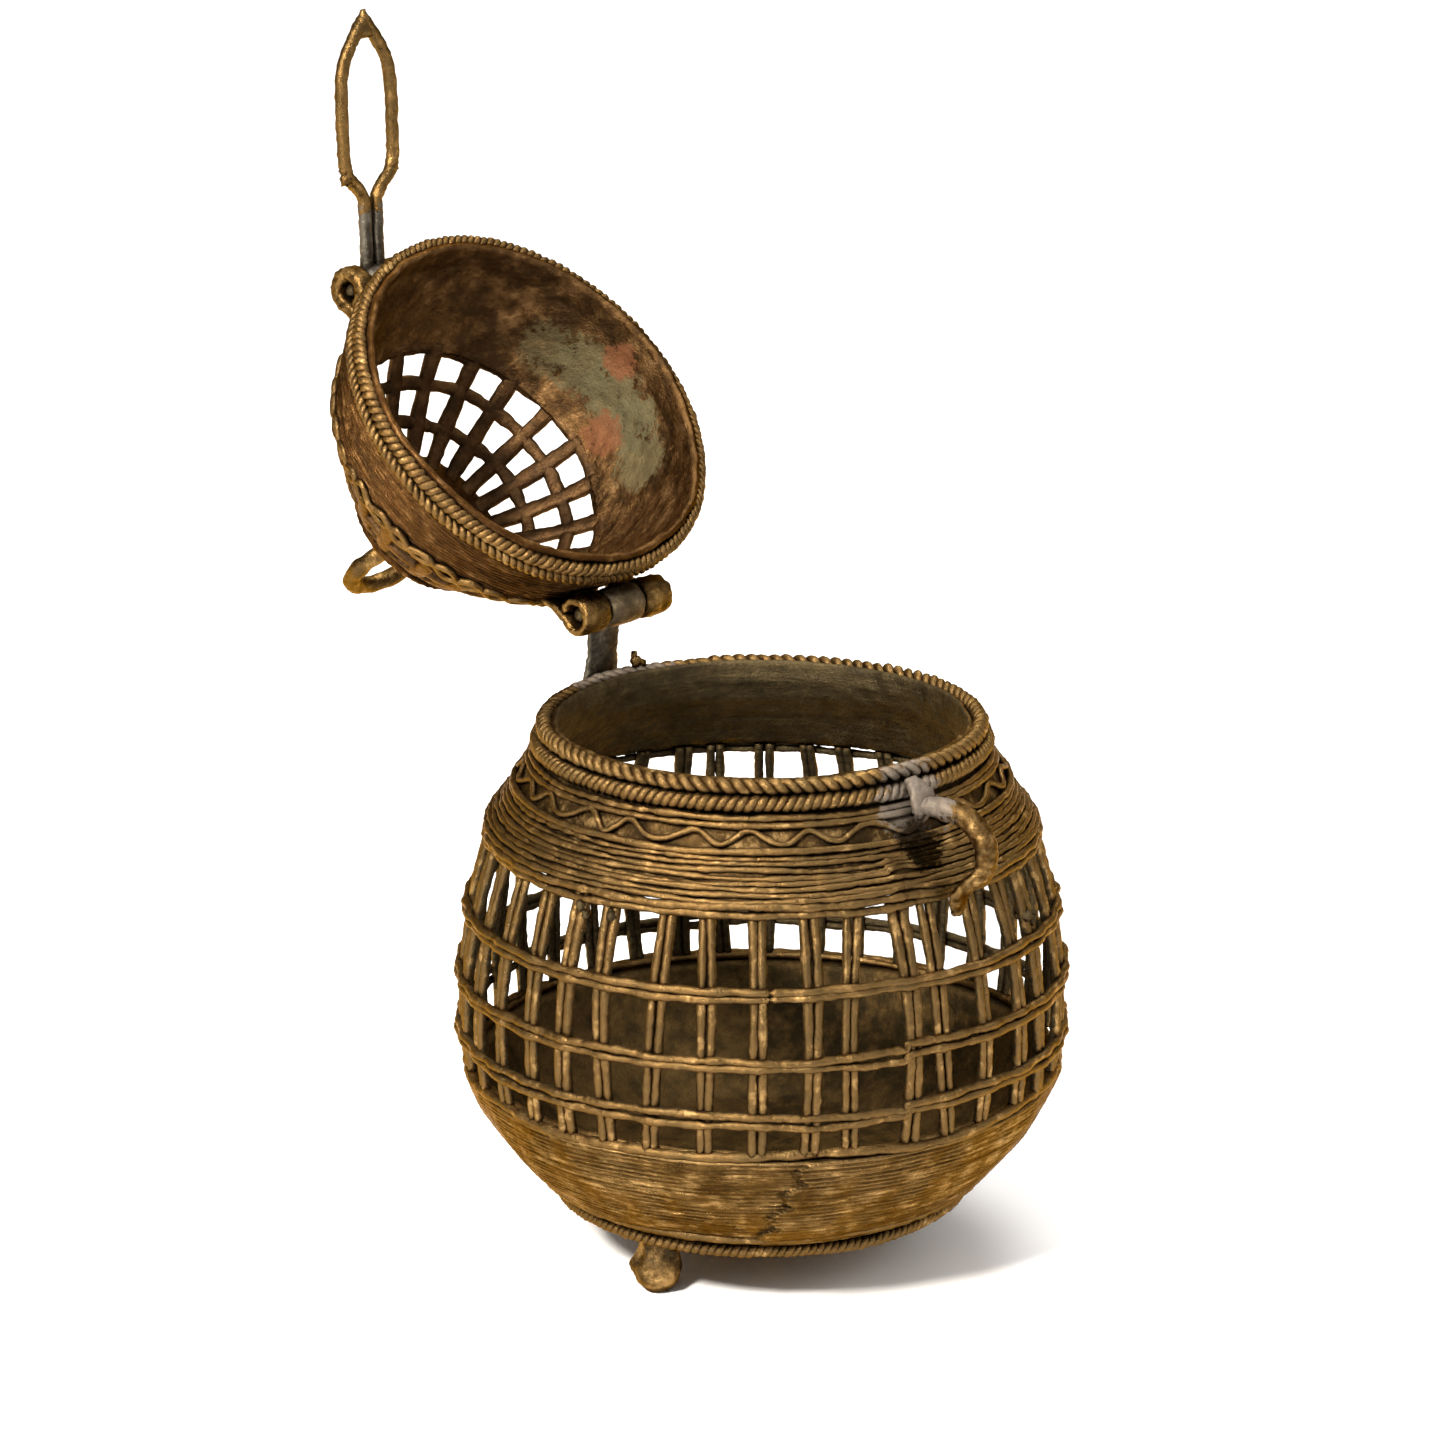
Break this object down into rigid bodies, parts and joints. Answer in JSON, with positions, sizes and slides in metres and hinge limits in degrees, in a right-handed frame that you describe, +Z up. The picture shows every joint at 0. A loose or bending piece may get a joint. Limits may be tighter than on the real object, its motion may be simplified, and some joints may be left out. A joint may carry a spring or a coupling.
{
  "type": "incense censer pot",
  "caption": "Cast brass openwork incense pot on small drop feet, with a hinged pierced dome lid, a ring handle and a slotted hasp that swings over a staple.",
  "frame": {"origin": "on the pot's upright axis, in the plane its feet stand on", "axes": "+Z up; +Y towards the lid's hinge, -Y towards the staple and hasp; the hinge pins lie along X"},
  "size_m": [0.1012, 0.1445, 0.1956],
  "materials": {
    "brass": "cast, hand rubbed",
    "dark_brass": "cast, oxidised"
  },
  "bodies": {
    "pot": {"base_bowl": "dark_brass", "base_rope": "brass", "base_wire": "brass", "bowl_edge_wire": "brass", "foot_left": "dark_brass", "foot_right": "dark_brass", "foot_rear": "dark_brass", "lattice_bars": "brass", "lattice_band_low": "brass", "lattice_band_middle": "brass", "lattice_band_high": "brass", "lattice_band_top": "brass", "shoulder_shell": "brass", "shoulder_wire": "brass", "shoulder_wave": "brass", "neck_band": "brass", "rim_rope_lower": "brass", "rim_rope_upper": "brass", "hinge_strap": "dark_brass", "hinge_pin": "dark_brass", "staple": "brass"},
    "lid": {"lid_wall": "brass", "lid_rope_lower": "brass", "lid_rope_upper": "brass", "lid_wave": "brass", "crown_ring_low": "brass", "crown_ring_middle": "brass", "crown_ring_high": "brass", "crown_bars": "brass", "crown_disc": "dark_brass", "ring_handle": "brass", "lid_knuckle_left": "brass", "lid_knuckle_right": "brass", "hasp_lug_left": "brass", "hasp_lug_right": "brass", "hasp_pin": "dark_brass"},
    "hasp": {"hasp_stem": "brass", "hasp_loop": "brass"}
  },
  "joints": [
    {"name": "lid_hinge", "type": "hinge", "parent": "pot", "child": "lid", "pos_m": [0.0025, 0.0344, 0.1015], "axis": [1, 0, 0], "range_deg": [0, 133.5]},
    {"name": "hasp_hinge", "type": "hinge", "parent": "lid", "child": "hasp", "pos_m": [-0.0045, 0.08348, 0.14929], "axis": [1, 0, 0], "range_deg": [-100, 23.5]}
  ]
}
